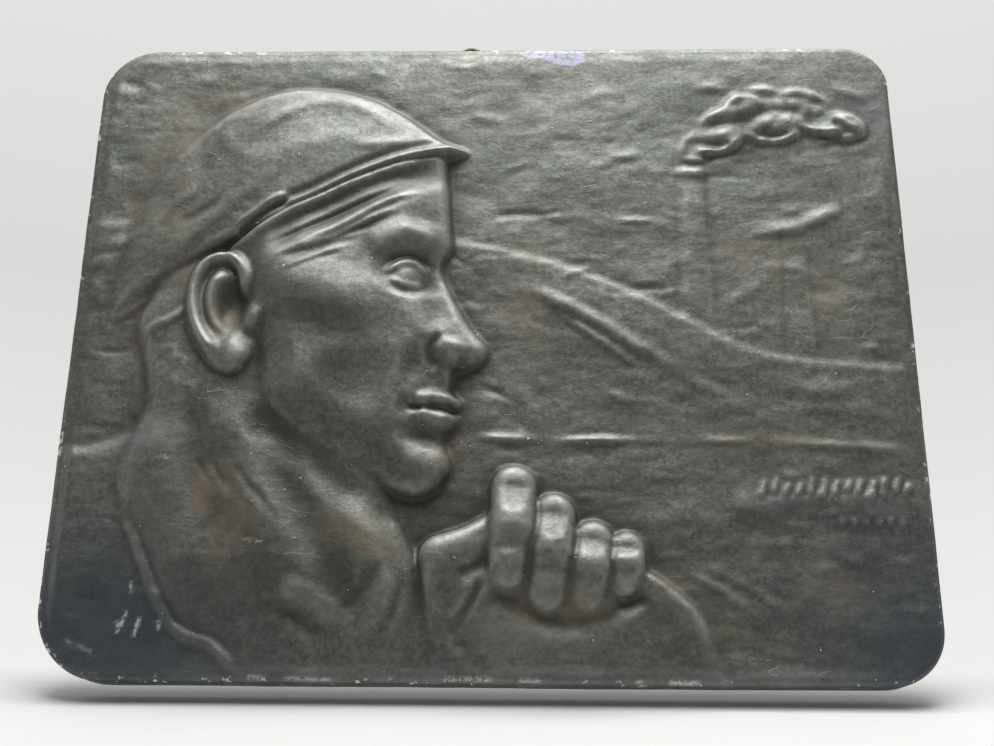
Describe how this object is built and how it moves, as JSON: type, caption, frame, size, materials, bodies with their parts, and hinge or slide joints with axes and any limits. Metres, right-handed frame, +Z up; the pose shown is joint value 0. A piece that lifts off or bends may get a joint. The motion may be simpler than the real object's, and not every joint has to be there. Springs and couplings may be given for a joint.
{
  "type": "relief plaque",
  "caption": "Rounded rectangular cast wall plaque with a capped head in profile over a raised hand, a low landscape behind, a hollow back and a wire hanging loop.",
  "frame": {"origin": "middle of the top rim's flat back face, which lies against the wall", "axes": "+X to the right as seen from the front, +Y out of the back into the wall, +Z up; the relief faces -Y"},
  "size_m": [0.4, 0.0372, 0.3281],
  "materials": {
    "patinated_casting": "dark grey-green patina with a soft waxed sheen, rubbed paler on the ridges, brown dirt in the hollows",
    "dark_wire": "blackened iron wire"
  },
  "bodies": {
    "root": {"relief_plate": "patinated_casting", "hanging_loop": "dark_wire"}
  },
  "joints": []
}
